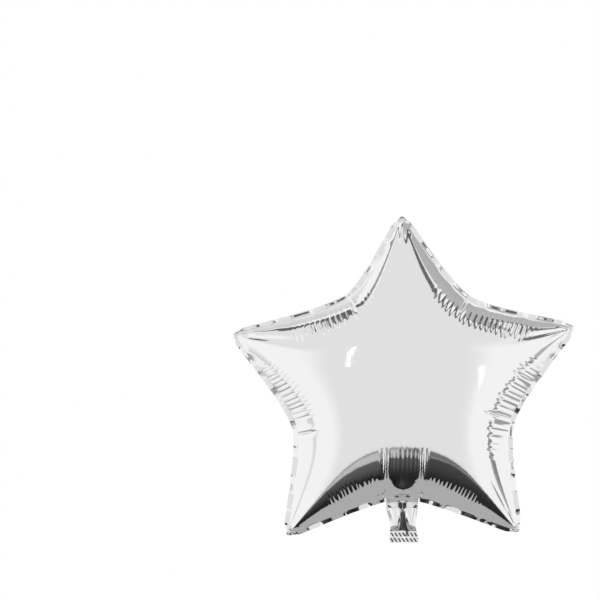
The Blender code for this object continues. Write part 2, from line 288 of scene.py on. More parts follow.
def ridge_places(arm):
    """Where an arm's pleat lines meet its ridge, which runs from the centre to the tip."""
    share = pleat_lines(RIGHT, 1)[1]
    share = share / share[-1]
    along = (RIDGE_START + (1.0 - RIDGE_START) * share) * (1.0 - (1.0 - share) ** RIDGE_FAN)
    heading = (math.sin(TIP_ANGLE[arm]), math.cos(TIP_ANGLE[arm]))
    return (along * (TIP_REACH[arm] - TIP_INSET))[:, None] * heading


def row_shares(side):
    """Where a film's rows lie along a pleat line, from the weld (0) to the ridge (1)."""
    row = np.linspace(0.0, 1.0, FILM_ROWS[side] + 1)
    return (1.0 - EVEN_ROWS) * row ** 2 + EVEN_ROWS * np.sin(row * math.pi / 2.0) ** 2


print(FILM_ROWS[-1], "rows in front,", FILM_ROWS[1], "behind")

# %% [markdown]
# Gathers and folds
#
# Where two arms meet, the weld is longer than the swollen film wants to be, so the film takes up
# the difference in short narrow gathers on the shoulder, deepest by the notch. Each is a narrow
# valley with soft banks. Their spacing, depth and length are drawn from a seeded random source,
# because a row of equal ones looks moulded. Some edges have hardly any and some have long ones.
# The film between two gathers is drawn almost straight where it turns over the shoulder, which
# makes the bright and dark ticks there long. At the notches a few folds are sharp, with a raised
# lip on one side.

# %% Soft steps
def ease(low, high, value):
    """0 below low, 1 above high and an even curve between."""
    share = np.clip((value - low) / (high - low), 0.0, 1.0)
    return share * share * (3.0 - 2.0 * share)


def fade(low, high, value):
    """1 below low, 0 above high and an even curve between."""
    return 1.0 - ease(low, high, value)


def span(start, full, fading, end, value):
    """0 before start, 1 from full to fading, and 0 again after end."""
    return ease(start, full, value) * fade(fading, end, value)


print("a step eased at its quarters:", ease(0.0, 1.0, np.array((0.25, 0.5, 0.75))).tolist())

# %% Gathers
GatherRow = namedtuple("GatherRow", "first last spacing depth length weld_share pillow")
# Each edge by its arm and the side that its notch is on: distances of the first and last gather
# from the notch, spacing, depth, length inward, share of the depth at the weld, and how far the
# pillows between the gathers are drawn straight
EDGE_GATHERS = {
    (TOP, 1): GatherRow(0.006, 0.040, 0.0064, 0.00100, 0.034, 0.30, 0.0003),
    (RIGHT, -1): GatherRow(0.005, 0.098, 0.0062, 0.00115, 0.033, 0.30, 0.0007),
    (RIGHT, 1): GatherRow(0.006, 0.085, 0.0062, 0.00060, 0.034, 0.50, 0.0004),
    (LOWER_RIGHT, -1): GatherRow(0.006, 0.052, 0.0078, 0.00080, 0.034, 0.40, 0.0003),
    (LOWER_RIGHT, 1): GatherRow(0.028, 0.096, 0.0047, 0.00085, 0.036, 0.25, 0.0),
    (LOWER_LEFT, -1): GatherRow(0.028, 0.096, 0.0047, 0.00085, 0.036, 0.25, 0.0),
    (LOWER_LEFT, 1): GatherRow(0.008, 0.020, 0.0070, 0.00030, 0.030, 0.50, 0.0),
    (LEFT, -1): GatherRow(0.006, 0.092, 0.0062, 0.00055, 0.038, 0.60, 0.0),
    (LEFT, 1): GatherRow(0.005, 0.078, 0.0062, 0.00125, 0.034, 0.30, 0.0005),
    (TOP, -1): GatherRow(0.006, 0.032, 0.0066, 0.00050, 0.032, 0.30, 0.0),
}
FIRST_SEED = 100
GATHER_SHIFT = 0.16             # share of the spacing that a gather may stand off its even place
GATHER_WIDTHS = (0.46, 0.58)    # half width as a share of the spacing, from and to
GATHER_DEPTHS = (0.7, 1.15)     # share of the edge's depth, from and to
GATHER_LENGTHS = (0.85, 1.06)   # share of the edge's length inward, from and to
GATHER_FADING = (0.55, 1.15)    # share of the way to the last gather over which they grow shallow
GATHER_START = 0.006            # from the weld to where a gather has what depth it has there
GATHER_DEEP = 0.020             # from the weld to where it is deepest
GATHER_END = 0.75               # share of its length from which it runs out
SHOULDER_END = (0.6, 0.95)      # share of a pleat line over which gathers run out at the latest


def make_gathers(edge, seed):
    """Distances from the notch, half widths, depths and lengths of one edge's gathers."""
    row = EDGE_GATHERS[edge]
    chance = np.random.default_rng(seed)
    count = int((row.last - row.first) / row.spacing) + 1
    shift = chance.uniform(-GATHER_SHIFT, GATHER_SHIFT, count)
    place = row.first + row.spacing * (np.arange(count) + shift)
    fading = fade(*GATHER_FADING, (place - row.first) / (row.last - row.first))
    half_width = row.spacing * chance.uniform(*GATHER_WIDTHS, count)
    depth = row.depth * fading * chance.uniform(*GATHER_DEPTHS, count)
    length = row.length * chance.uniform(*GATHER_LENGTHS, count)
    return place, half_width, depth, length


def gather_rise(edge, seed, beside, inset, share):
    """Rise of the film at an edge's gathers: sharp valleys with a round pillow between each two."""
    place, half_width, depth, length = make_gathers(edge, seed)
    weld_share = EDGE_GATHERS[edge].weld_share
    apart = np.abs(beside[:, None] - place) / half_width
    valley = np.maximum(1.0 - apart, 0.0) ** 2
    deepening = weld_share + (1.0 - weld_share) * ease(GATHER_START, GATHER_DEEP, inset)
    band = ease(0.0, GATHER_START, inset) * deepening * fade(*SHOULDER_END, share)
    band = band[..., None] * fade(GATHER_END, 1.0, inset[..., None] / length)
    return -(valley[:, None, :] * depth * band).sum(axis=-1)


print("gathers:", sum(len(make_gathers(edge, FIRST_SEED)[0]) for edge in EDGE_GATHERS), "a side")

# %% Straight pillows
PILLOW_MIDDLE = 0.0170      # from the weld to the middle of a straight pillow
PILLOW_HALF = 0.0062
PILLOW_START = 0.008        # from the notch to where the pillows are at their straightest
PILLOW_FADING = 0.6         # share of the way to the last gather from which they round off


def pillow_drop(edge, beside, inset, share):
    """How far the film between an edge's gathers is drawn in, which makes it nearly straight."""
    row = EDGE_GATHERS[edge]
    drop = np.maximum(1.0 - ((inset - PILLOW_MIDDLE) / PILLOW_HALF) ** 2, 0.0)
    drop = drop * span(0.0, PILLOW_START, PILLOW_FADING * row.last, row.last, beside)[:, None]
    return drop * row.pillow * fade(*SHOULDER_END, share)


print("edges with straight pillows:", sum(row.pillow > 0.0 for row in EDGE_GATHERS.values()))

# %% Sharp folds
# Notch, place along the weld clockwise of it, length inward, depth, half width
NOTCH_FOLDS = (
    (0, 0.000, 0.030, 0.0022, 0.0024),
    (1, -0.056, 0.034, 0.0026, 0.0026),
    (1, -0.026, 0.036, 0.0016, 0.0022),
    (1, -0.004, 0.050, 0.0030, 0.0028),
    (1, 0.013, 0.030, 0.0012, 0.0022),
    (3, -0.012, 0.028, 0.0030, 0.0026),
    (4, 0.000, 0.026, 0.0022, 0.0024),
)
FOLD_SHARPNESS = 1.3
FOLD_LIP = 0.4              # height of the lip as a share of the fold's depth
FOLD_LIP_PLACE = 1.6        # from the fold to the lip, in half widths
FOLD_START = 0.003          # from the weld to where a fold has its depth
FOLD_FADING = 0.4           # share of its length from which it runs out


def fold_rise(along, notch, notch_number, inset):
    """Rise of the film at the sharp folds: a narrow valley with a lip on its far side."""
    rise = np.zeros_like(inset)
    half_round = WELD_LENGTH / 2.0
    for number, place, reach, depth, half_width in NOTCH_FOLDS:
        if number != notch_number:
            continue
        aside = ((along - notch - place + half_round) % WELD_LENGTH - half_round)[:, None]
        valley = np.maximum(1.0 - np.abs(aside) / half_width, 0.0) ** FOLD_SHARPNESS
        lip = FOLD_LIP * np.exp(-((aside - FOLD_LIP_PLACE * half_width) / half_width) ** 2)
        rise = rise - depth * (valley - lip) * span(0.0, FOLD_START, FOLD_FADING * reach, reach, inset)
    return rise


print(len(NOTCH_FOLDS), "sharp folds")

# %% [markdown]
# Creases in the arms
#
# An arm ends in a narrow tip, where the pull of the film gathers to one point, so long shallow
# creases fan out of it. They could be drawn as bump, but a mirror shows even a slight slope, and
# bump would leave the mesh plain. So each is a soft valley in the mesh that widens away from the
# tip. One has a negative depth and is a ridge.

# %% Creases in the arms
# Arm, degrees from its middle line (clockwise), start and end from the tip, depth, width
ARM_CREASES = (
    (TOP, 0.0, 0.002, 0.050, -0.0022, 0.0042),
    (RIGHT, 9.5, 0.004, 0.100, 0.0012, 0.0026),
    (RIGHT, -6.0, 0.006, 0.080, 0.0006, 0.0026),
    (LOWER_RIGHT, 11.5, 0.006, 0.135, 0.0006, 0.0010),
    (LOWER_LEFT, -12.0, 0.008, 0.110, 0.0003, 0.0020),
    (LEFT, -13.5, 0.010, 0.110, 0.0019, 0.0035),
    (LEFT, -24.0, 0.010, 0.085, 0.0004, 0.0016),
    (LEFT, 6.0, 0.006, 0.080, 0.0006, 0.0030),
)
CREASE_GROWTH = 0.01        # past its start, how far a crease takes to reach its depth
CREASE_FADING = 0.4         # share of the way to its end from which it runs out
CREASE_WIDENING = 0.06      # distance over which it grows wider by its width


def crease_rise(arm, place):
    """Rise of the film at the creases that fan out of an arm's tip."""
    rise = np.zeros(place.shape[:-1])
    angle = TIP_ANGLE[arm]
    tip = TIP_REACH[arm] * np.array((math.sin(angle), math.cos(angle)))
    for number, turn, start, end, depth, width in ARM_CREASES:
        if number != arm:
            continue
        heading = angle + math.pi + math.radians(turn)
        run = np.array((math.sin(heading), math.cos(heading)))
        from_tip = place - tip
        forth = from_tip @ run
        aside = from_tip[..., 0] * run[1] - from_tip[..., 1] * run[0]
        spread = width * (0.5 + np.maximum(forth, 0.0) / CREASE_WIDENING)
        fading = span(0.0, start + CREASE_GROWTH, CREASE_FADING * end, end, forth)
        rise = rise - depth * np.exp(-(aside / spread) ** 2) * fading
    return rise


print(len(ARM_CREASES), "creases")

# %% [markdown]
# The ruffled hem
#
# Outside the weld lies a narrow hem of flat film. It is too long for its place, so it waves to and
# fro, and it leans back in long stretches, which turns it from pale to dark in the mirror. The
# waves are sums of a few sines, whose counts are whole numbers so that they close round the star.
# At the tips the hem is drawn in to small knobs.

# %% Waves of the hem
HEM_ROWS = 4
HEM_THICKNESS = 0.0003
HEM_WIDTH = 0.0050
# Sums of waves: how many go once round the star, share of each, and where it starts in radians
RUFFLE_WAVES = ((53, 0.45, 0.3), (31, 0.40, 1.9), (83, 0.12, 4.0))
CURL_WAVES = ((23, 0.5, 2.0), (37, 0.4, 0.7), (61, 0.2, 5.1))
RUFFLE_DEPTH = 0.0020
RUFFLE_REACH = 0.007        # how far the hem's waves carry on inside the weld
CRIMP_DEPTH = 0.00006
CRIMP_WAVES = 430
CRIMP_DRIFT = 2.0           # radians by which the crimps stray to either side
CRIMP_DRIFT_WAVES = 17


def once_round(along):
    """Turn in radians that grows evenly along the weld."""
    return 2.0 * math.pi * along / WELD_LENGTH


def sum_of_waves(table, turn):
    """A table's waves, added up."""
    return sum(share * np.sin(waves * turn + start) for waves, share, start in table)


def ruffle(along):
    """How far the hem waves out of its plane."""
    return RUFFLE_DEPTH * sum_of_waves(RUFFLE_WAVES, once_round(along))


def crimp(along):
    """Fine crimps that the heat of the weld leaves in the hem."""
    turn = once_round(along)
    drift = CRIMP_DRIFT * np.sin(CRIMP_DRIFT_WAVES * turn)
    return CRIMP_DEPTH * np.sin(CRIMP_WAVES * turn + drift)


print(f"hem {HEM_WIDTH * 1000:.0f} mm wide, {RUFFLE_DEPTH * 1000:.0f} mm ruffles")

# %% Lean and knobs of the hem
# Degrees clockwise from straight up that the hem faces, and degrees that it leans back at most
HEM_LEANS = np.array((
    (-180.0, 27.0), (-150.0, 27.0), (-120.0, 40.0), (-90.0, 37.0), (-60.0, 43.0),
    (20.0, 43.0), (50.0, 35.5), (110.0, 36.5), (125.0, 34.0), (150.0, 27.0), (180.0, 27.0),
))
CURL_EDGE = 0.15            # height of the waves, up or down, within which the lean sets in
LOW_CURL = 0.35             # how much more often the hem leans back along the bottom
LOW_FACING = (120.0, 150.0)     # degrees from straight up between which that sets in
FLUTTER_SLOPE = 0.12
FLUTTER_WAVES = 29
KNOB_REACH = 0.012          # how far from a tip the hem is drawn in
KNOB_NARROWING = 0.0026
KNOB_NARROWED = 0.004       # from a tip to where the hem is narrowest
KNOB_SLOPE = 0.93
KNOB_EDGE = (0.004, 0.008)      # from a tip to where the knob gives way to the leaning hem


def curl(along, out):
    """How steeply the hem leans back: hardly in some stretches, and to its full lean in others."""
    turn = once_round(along)
    facing = np.degrees(np.arctan2(out[..., 0], out[..., 1]))
    lean = np.radians(np.interp(facing, HEM_LEANS[:, 0], HEM_LEANS[:, 1]))
    wave = sum_of_waves(CURL_WAVES, turn) + LOW_CURL * ease(*LOW_FACING, np.abs(facing))
    return np.tan(lean) * ease(-CURL_EDGE, CURL_EDGE, wave) + FLUTTER_SLOPE * np.sin(FLUTTER_WAVES * turn)


print(f"the hem leans back by {HEM_LEANS[:, 1].min():.0f} to {HEM_LEANS[:, 1].max():.0f} degrees")

# %% [markdown]
# The face over the tail
#
# Where the tail joins the star, both films stand apart for the gas to pass, and the film above the
# mouth sags over it as a rounded panel. Two upright pleats run up the face on each side of it. The
# mouth is the half of an ellipse, and the pleats are short waves that fade out up and down.

# %% Face over the tail
MOUTH_DEPTH = 0.0240        # how far each film stands off the weld's plane in the mouth's middle
PANEL_DEPTH = 0.0030
PANEL_HALF_WIDTH = 0.0190
PANEL_TOP = 0.033           # height over the notch, as the values below
PANEL_RUN = 0.019
PANEL_START = 0.012
PLEAT_MIDDLE = 0.0236       # from the star's middle line to the ridge between a pair of pleats
PLEAT_PITCH = 0.0054
PLEAT_SPREAD = 0.0062
PLEAT_DEPTH = 0.00075
PLEAT_SPAN = (0.026, 0.032, 0.052, 0.062)
# Fine upright streaks on the panel are two waves that drift in and out of step
STREAK_PITCH = 0.0052
STREAK_START = 0.8          # radians
SECOND_STREAK_SHARE = 0.6
SECOND_STREAK_TURN = 790.0      # radians a metre
STREAK_DEPTH = 0.00015
STREAK_SIDES = (0.012, 0.017)
STREAK_SPAN = (0.020, 0.034, 0.052, 0.064)
CREASE_DEPTH = 0.0014
CREASE_HALF_WIDTH = 0.0022
CREASE_END = (0.028, 0.040)


def tail_fold_rise(place):
    """Rise at the folds on the face over the tail: pleats, streaks, creases and the panel."""
    height = place[..., 1] + NOTCH_REACH[BOTTOM]
    aside = np.abs(place[..., 0])
    pleats = np.cos(2.0 * math.pi * (aside - PLEAT_MIDDLE) / PLEAT_PITCH)
    pleats = pleats * np.exp(-((aside - PLEAT_MIDDLE) / PLEAT_SPREAD) ** 4) * span(*PLEAT_SPAN, height)
    streaks = np.cos(2.0 * math.pi * place[..., 0] / STREAK_PITCH + STREAK_START)
    streaks = streaks + SECOND_STREAK_SHARE * np.cos(place[..., 0] * SECOND_STREAK_TURN)
    streaks = streaks * fade(*STREAK_SIDES, aside) * span(*STREAK_SPAN, height)
    crease = np.maximum(1.0 - np.abs(aside - MOUTH_HALF_WIDTH) / CREASE_HALF_WIDTH, 0.0)
    crease = crease * fade(*CREASE_END, height)
    panel = np.clip((PANEL_TOP - height) / PANEL_RUN, 0.0, 1.0) ** 2 * ease(0.0, PANEL_START, height)
    panel = panel * np.maximum(1.0 - aside / PANEL_HALF_WIDTH, 0.0)
    return PLEAT_DEPTH * pleats + STREAK_DEPTH * streaks - CREASE_DEPTH * crease + PANEL_DEPTH * panel


def mouth_depth(x):
    """How far each film stands off the weld's plane across the tail's mouth."""
    return MOUTH_DEPTH * np.sqrt(np.maximum(1.0 - (x / MOUTH_HALF_WIDTH) ** 2, 0.0))


print(f"the mouth is {MOUTH_HALF_WIDTH * 2000:.0f} mm wide and {MOUTH_DEPTH * 2000:.0f} mm deep")

# %% [markdown]
# The lattice of one edge
#
# Everything comes together here: for half an edge of one arm, the places of its pleat lines and
# rows, raised by the swell, the gathers, the folds and the creases. The front and the back film
# share the weld but not their gathers, so each side gets its own seed.

# %% Pleat lines where they cross the weld
CALM_RUN = 0.01             # from the mouth to where the hem has its full ruffles
STEADY_RUN = 0.004          # from the mouth to where it leans and has its full crimps
TIP_CALM = 0.5              # share of its ruffles that the hem has lost at a tip


def edge_lines(arm, hand):
    """Half an edge's pleat lines: their places on the weld, and what the hem does there."""
    notch_number = notch_beside(arm, hand)
    notch, beside = pleat_lines(arm, hand)
    along = notch - hand * beside
    angle = angle_at(along)
    weld, out = weld_place(angle), weld_out(angle)
    from_tip = beside[-1] - beside
    drawn_in = fade(0.0, KNOB_REACH, from_tip)
    wave = ruffle(along) * (1.0 - TIP_CALM * drawn_in)
    mouth = np.zeros_like(along)
    steady = np.ones_like(along)
    if notch_number == BOTTOM:
        mouth[:MOUTH_LINES] = mouth_depth(weld[:MOUTH_LINES, 0])
        wave = wave * ease(MOUTH_HALF_WIDTH, MOUTH_HALF_WIDTH + CALM_RUN, beside)
        steady = ease(MOUTH_HALF_WIDTH, MOUTH_HALF_WIDTH + STEADY_RUN, beside)
    return SimpleNamespace(
        arm=arm, hand=hand, notch_number=notch_number, notch=notch, beside=beside, along=along,
        weld=weld, out=out, from_tip=from_tip, drawn_in=drawn_in, wave=wave, mouth=mouth, steady=steady,
    )


print("the first line of the top arm crosses the weld at", edge_lines(TOP, 1).weld[0].round(3).tolist())

# %% Film of one edge
MOUTH_REACH = 0.030         # how far up the face the mouth lifts the film
FORM_START = 0.004          # from the weld to where creases and pleats have their depth


def film_rise(lines, side, flat, inset, share):
    """Rise of a film at its gathers, folds and creases."""
    edge = (lines.arm, lines.hand)
    seed = FIRST_SEED + 20 * lines.arm + 5 * lines.hand + side
    rise = gather_rise(edge, seed, lines.beside, inset, share)
    rise = rise - pillow_drop(edge, lines.beside, inset, share)
    rise = rise + fold_rise(lines.along, lines.notch, lines.notch_number, inset)
    rise = rise + crease_rise(lines.arm, flat) * ease(0.0, FORM_START, inset)
    if lines.notch_number == BOTTOM:
        rise = rise + tail_fold_rise(flat) * ease(0.0, FORM_START, inset)
    return rise


def film_lattice(lines, side):
    """Corners of a film's rows, from the weld to the ridge."""
    share = row_shares(side)
    across = ridge_places(lines.arm) - lines.weld
    flat = lines.weld[:, None, :] + across[:, None, :] * share[:, None]
    inset = np.linalg.norm(across, axis=-1)[:, None] * share
    rise = film_rise(lines, side, flat, inset, share)
    height, out_flat, out_away = film_shape(flat)
    opening = lines.mouth[:, None] * fade(0.0, MOUTH_REACH, inset)
    away = HEM_THICKNESS / 2.0 + np.hypot(height, opening) + rise * out_away
    flat = flat + rise[..., None] * out_flat
    depth = side * away + lines.wave[:, None] * (1.0 - share) * fade(0.0, RUFFLE_REACH, inset)
    return np.stack((flat[..., 0], depth, flat[..., 1]), axis=-1)


print("film of half an edge:", film_lattice(edge_lines(TOP, 1), -1).shape[:2])

# %% Hem of one edge
MOUTH_DROP = 0.22           # share of its depth that the lip over the mouth has lost at the hem's edge


def hem_lattice(lines, side):
    """Corners of the hem's rows, from its outer edge to the weld."""
    share = np.linspace(1.0, 0.0, HEM_ROWS + 1)[:-1]
    width = HEM_WIDTH - KNOB_NARROWING * lines.drawn_in * ease(0.0, KNOB_NARROWED, lines.from_tip)
    flat = lines.weld[:, None, :] + lines.out[:, None, :] * (width[:, None] * share)[..., None]
    past_knob = ease(*KNOB_EDGE, lines.from_tip)
    lean = curl(lines.along, lines.out) * lines.steady * width * past_knob
    bend = lines.wave[:, None] + (crimp(lines.along) * lines.steady)[:, None] * share
    bend = bend + lean[:, None] * share
    roof = 0.5 - np.abs(share - 0.5)
    knob = KNOB_SLOPE * (width * (1.0 - past_knob))[:, None] * roof
    lip = lines.mouth[:, None] * (1.0 - MOUTH_DROP * share)
    depth = side * (HEM_THICKNESS / 2.0 + lip + knob) + bend
    return np.stack((flat[..., 0], depth, flat[..., 1]), axis=-1)


def edge_lattice(arm, hand, side):
    """Corners of one edge's lattice. Its first rows are the hem, from the outer edge inwards."""
    lines = edge_lines(arm, hand)
    return np.concatenate((hem_lattice(lines, side), film_lattice(lines, side)), axis=1)


print("hem and film of half an edge:", edge_lattice(TOP, 1, -1).shape[:2])

# %% [markdown]
# The tail
#
# The balloon is filled through a flat neck at the bottom notch, which holds a valve and is welded
# across its end. The gas in it lets it stand in two round lobes with a deep valley between them,
# and the film above hangs over it in a rounded lip. The end is pressed flat. The tail starts from
# the hem's edge across the mouth, so that it is one film with the star, and each formula is
# blended along its length.

# %% Outline of the tail
TAIL_WAIST = STAR_HEIGHT    # from the star's centre down to the waist, where a ribbon is tied
TAIL_END = 0.192            # and down to the welded end
WAIST_HALF_WIDTH = 0.0160
END_HALF_WIDTH = 0.0177


def tail_half_width(share):
    """Half width of the tail from its mouth (0) over its waist to its welded end (1)."""
    waist = (TAIL_WAIST - NOTCH_REACH[BOTTOM]) / (TAIL_END - NOTCH_REACH[BOTTOM])
    narrowed = MOUTH_HALF_WIDTH + (WAIST_HALF_WIDTH - MOUTH_HALF_WIDTH) * ease(0.0, waist, share)
    return narrowed + (END_HALF_WIDTH - WAIST_HALF_WIDTH) * ease(waist, 1.0, share)


print(f"the waist is {tail_half_width(np.linspace(0.0, 1.0, 99)).min() * 2000:.0f} mm wide")

# %% Lobes, valley and lip
# Shares of the tail's length, unless they say metres
LIP_END = 0.25              # the lip has run out here
STRIP_START = 0.72          # the welded strip begins here
PRESSED_RUN = 0.14          # above the strip, over which the tail is pressed flat
LOBE_START = 0.2
LOBE_DEPTH = 0.0068         # metres
LOBE_ROUNDNESS = 0.8
LOBES_PARTED = 0.30         # share of the half width between the lobes, at the strip
VALLEY_DEPTH = 0.0060       # metres
VALLEY_MOST = 1.3           # the valley's floor grows no higher than this many times its depth
VALLEY_SIDE = 0.7           # share of the half width over which it rises to nothing
LIP_EDGE = 0.0035           # metres by which the lip stands out past its slope
LIP_EDGE_RUN = 0.15
SOFT_POWER = 5


def soft_top(first, second):
    """The greater of two heights, with a soft change from one to the other."""
    total = np.maximum(first, 0.0) ** SOFT_POWER + np.maximum(second, 0.0) ** SOFT_POWER
    return total ** (1.0 / SOFT_POWER)


def tail_body(across, share):
    """How far a film of the tail stands out: two lobes, the valley between them, and the lip."""
    pressed = fade(STRIP_START - PRESSED_RUN, STRIP_START, share)
    parted = LOBES_PARTED * ease(LIP_END, STRIP_START, share)
    in_lobe = np.clip((np.abs(across) - parted) / (1.0 - parted), 0.0, 1.0)
    lobes = LOBE_DEPTH * np.sin(math.pi * in_lobe) ** LOBE_ROUNDNESS
    lobes = lobes * ease(0.0, LOBE_START, share) * pressed
    ramp = np.clip((STRIP_START - share) / (STRIP_START - LIP_END), 0.0, VALLEY_MOST)
    valley = VALLEY_DEPTH * ramp * fade(0.0, VALLEY_SIDE, np.abs(across))
    lip_share = np.clip(1.0 - np.abs(across) - share / LIP_END, 0.0, 1.0)
    lip = MOUTH_DEPTH * (1.0 - MOUTH_DROP) * lip_share + LIP_EDGE * ease(0.0, LIP_EDGE_RUN, lip_share)
    return soft_top(soft_top(lobes, valley), lip)


print(f"the lobes stand {tail_body(np.array(0.5), np.array(0.5)) * 1000:.1f} mm out half-way down")

# %% Lattice of the tail
TAIL_ROWS = 84
TAIL_LEAN = 0.0025          # how far the end stands to the right of the mouth
TAIL_BACK = 0.0035          # and behind it
MOUTH_END = 0.25            # share of the length over which the mouth's own outline gives way
JOINED_END = 0.06           # and over which the film leaves the hem's edge
TAIL_CRUMPLE = 0.0011


def tail_crumple(across, share):
    """How far both films of the tail stray together from flat, towards its end."""
    folds = np.sin(1.5 * math.pi * across + 0.6) + 0.5 * np.sin(9.0 * across + 14.0 * share)
    return TAIL_CRUMPLE * folds * ease(0.5, 1.0, share)


def tail_lattice(side):
    """Corners of one film of the tail. Row 0 is the hem's edge across the mouth."""
    right = edge_lattice(BOTTOM, 1, side)[MOUTH_LINES:0:-1, 0]
    left = edge_lattice(BOTTOM + 1, -1, side)[:MOUTH_LINES + 1, 0]
    top = np.concatenate((right, left))[:, None, :]
    across = np.linspace(1.0, -1.0, 2 * MOUTH_LINES + 1)[:, None]
    share = np.arange(TAIL_ROWS + 1) / TAIL_ROWS
    own_outline = ease(0.0, MOUTH_END, share)
    x = top[..., 0] * (1.0 - own_outline) + across * tail_half_width(share) * own_outline
    x = x + TAIL_LEAN * ease(0.0, 1.0, share)
    z = top[..., 2] - (TAIL_END + top[..., 2]) * share
    parted = ease(0.0, JOINED_END, share)
    body = tail_body(across, share) * parted + top[..., 1] * side * (1.0 - parted)
    y = side * (HEM_THICKNESS / 2.0 + body) + tail_crumple(across, share)
    y = y + TAIL_BACK * ease(0.2, 1.0, share)
    lattice = np.stack((x, y, z), axis=-1)
    lattice[:, 0] = top[:, 0]
    return lattice


print("lattice of one side of the tail:", tail_lattice(-1).shape[:2])

# %% [markdown]
# The envelope as one mesh
#
# Each lattice is a flat grid made by the grid operator and then bent, corner by corner, into its
# place. Merging the shared corners joins the twenty patches and the tail, and a bridge between the
# two outer rims closes the hem. The result is one closed, watertight skin, as on the real thing.

# %% Joined patches
MERGE_DISTANCE = 0.00001


def bend_grid(bm, lattice):
    """Adds a flat grid and bends it to the lattice."""
    columns, rows = lattice.shape[0] - 1, lattice.shape[1] - 1
    made = bmesh.ops.create_grid(bm, x_segments=columns, y_segments=rows, size=1.0)
    for vert in made["verts"]:
        column = round((vert.co.x + 1.0) / 2.0 * columns)
        row = round((vert.co.y + 1.0) / 2.0 * rows)
        vert.co = lattice[column, row] + (0.0, 0.0, STAR_HEIGHT)


envelope_bm = bmesh.new()
for side in (-1, 1):
    for arm in range(ARMS):
        for hand in (-1, 1):
            bend_grid(envelope_bm, edge_lattice(arm, hand, side))
    bend_grid(envelope_bm, tail_lattice(side))
bmesh.ops.remove_doubles(envelope_bm, verts=envelope_bm.verts, dist=MERGE_DISTANCE)
rims = [edge for edge in envelope_bm.edges if edge.is_boundary]
bmesh.ops.bridge_loops(envelope_bm, edges=rims)
bmesh.ops.recalc_face_normals(envelope_bm, faces=envelope_bm.faces)
open_edges = sum(not edge.is_manifold for edge in envelope_bm.edges)
triangles = sum(len(face.verts) - 2 for face in envelope_bm.faces)
print(f"foil_envelope: {triangles} triangles, {open_edges} open or shared edges")

# %% Foil envelope
SHARP_DEGREES = 60.0        # faces that meet at more than this show an edge

envelope_mesh = bpy.data.meshes.new("foil_envelope")
envelope_bm.to_mesh(envelope_mesh)
envelope_bm.free()
envelope_mesh.shade_smooth()
envelope_mesh.set_sharp_from_angle(angle=math.radians(SHARP_DEGREES))
envelope = bpy.data.objects.new("foil_envelope", envelope_mesh)
bpy.context.collection.objects.link(envelope)
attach(envelope, "root")
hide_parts("star_envelope")
print("foil_envelope stands for the packed star_envelope")

# %% [markdown]
# Shader maths
#
# Node trees are long to write by hand. A small class wraps a socket, so that ordinary Python signs
# make the Math nodes, and one method makes any other node.

# %% Shader maths
class Wire:
    """A socket in a node tree, with sums written as usual."""

    def __init__(self, tree, socket):
        self.tree = tree
        self.socket = socket

    def node(self, kind, settings, inputs, output=0):
        """Makes a node: its settings first, then the values or wires of its sockets."""
        made = self.tree.nodes.new(kind)
        for name, value in settings.items():
            setattr(made, name, value)
        for name, value in inputs.items():
            if isinstance(value, Wire):
                self.tree.links.new(value.socket, made.inputs[name])
            else:
                made.inputs[name].default_value = value
        return Wire(self.tree, made.outputs[output])

    def maths(self, operation, first, second=0.0):
        """A Math node on wires or numbers."""
        return self.node("ShaderNodeMath", {"operation": operation}, {0: first, 1: second})

    def __add__(self, other):
        return self.maths("ADD", self, other)

    def __radd__(self, other):
        return self.maths("ADD", other, self)

    def __sub__(self, other):
        return self.maths("SUBTRACT", self, other)

    def __rsub__(self, other):
        return self.maths("SUBTRACT", other, self)

    def __mul__(self, other):
        return self.maths("MULTIPLY", self, other)

    def __rmul__(self, other):
        return self.maths("MULTIPLY", other, self)

    def __truediv__(self, other):
        return self.maths("DIVIDE", self, other)

    def __rtruediv__(self, other):
        return self.maths("DIVIDE", other, self)

    def __abs__(self):
        return self.maths("ABSOLUTE", self)

    def sine(self):
        """The sine of the wire's value, in radians."""
        return self.maths("SINE", self)

    def at_least(self, low):
        """The wire's value, or low where that is more."""
        return self.maths("MAXIMUM", self, low)

    def between(self, low, high):
        """0 below low, 1 above high and an even curve between."""
        settings = {"interpolation_type": "SMOOTHSTEP", "clamp": True}
        inputs = {"Value": self, "From Min": low, "From Max": high, "To Min": 0.0, "To Max": 1.0}
        return self.node("ShaderNodeMapRange", settings, inputs)

    def axis(self, number):
        """The X (0), Y (1) or Z (2) of a wire that carries a place."""
        return self.node("ShaderNodeSeparateXYZ", {}, {0: self}, number)


def object_place(tree):
    """The place on the object, in its own coordinates."""
    return Wire(tree, None).node("ShaderNodeTexCoord", {}, {}, "Object")


print("wires ready")

# %% [markdown]
# The foil
#
# Metallised film is nearly a mirror: full metal, a very low roughness, and a grey-white colour with
# no tint. What stops it looking like chrome plate is its unevenness, so a broad noise changes the
# roughness a little, and a fine one dents the surface by a hair. Across the welded end of the tail
# a heated tool has pressed two rows of slanted strokes, which are cut in as bump. Their dark look is
# a painted reflection: the strokes are tinted dark in the colour, though the pressed film stays silver.

# %% Strokes on the welded end
STROKE_TURNS = (1300.0, 800.0)      # radians a metre, across and up, which sets pitch and slant
STROKE_EDGE = (-0.1, 0.3)
STROKE_ROWS = ((-0.0155, -0.0204), (-0.0222, -0.0272))      # upper and lower end of each row
ROW_EDGE = 0.0004
STROKE_DEPTH = 0.00015
DENT_DEPTH = 0.00004
FOIL_COLOUR = (0.885, 0.888, 0.895, 1.0)
# The strokes' dark colour is a painted reflection: it stands for what their slanted facets mirror.
STROKE_PAINTED_REFLECTION_COLOUR = (0.12, 0.12, 0.12, 1.0)


def stamped_strokes(place):
    """1 on the slanted strokes of both rows, and 0 elsewhere."""
    x, z = place.axis(0), place.axis(2)
    slant = (x * STROKE_TURNS[0] + z * STROKE_TURNS[1]).sine().between(*STROKE_EDGE)
    rows = [z.between(upper, upper - ROW_EDGE) * z.between(lower, lower + ROW_EDGE)
            for upper, lower in STROKE_ROWS]
    return slant * (rows[0] + rows[1])


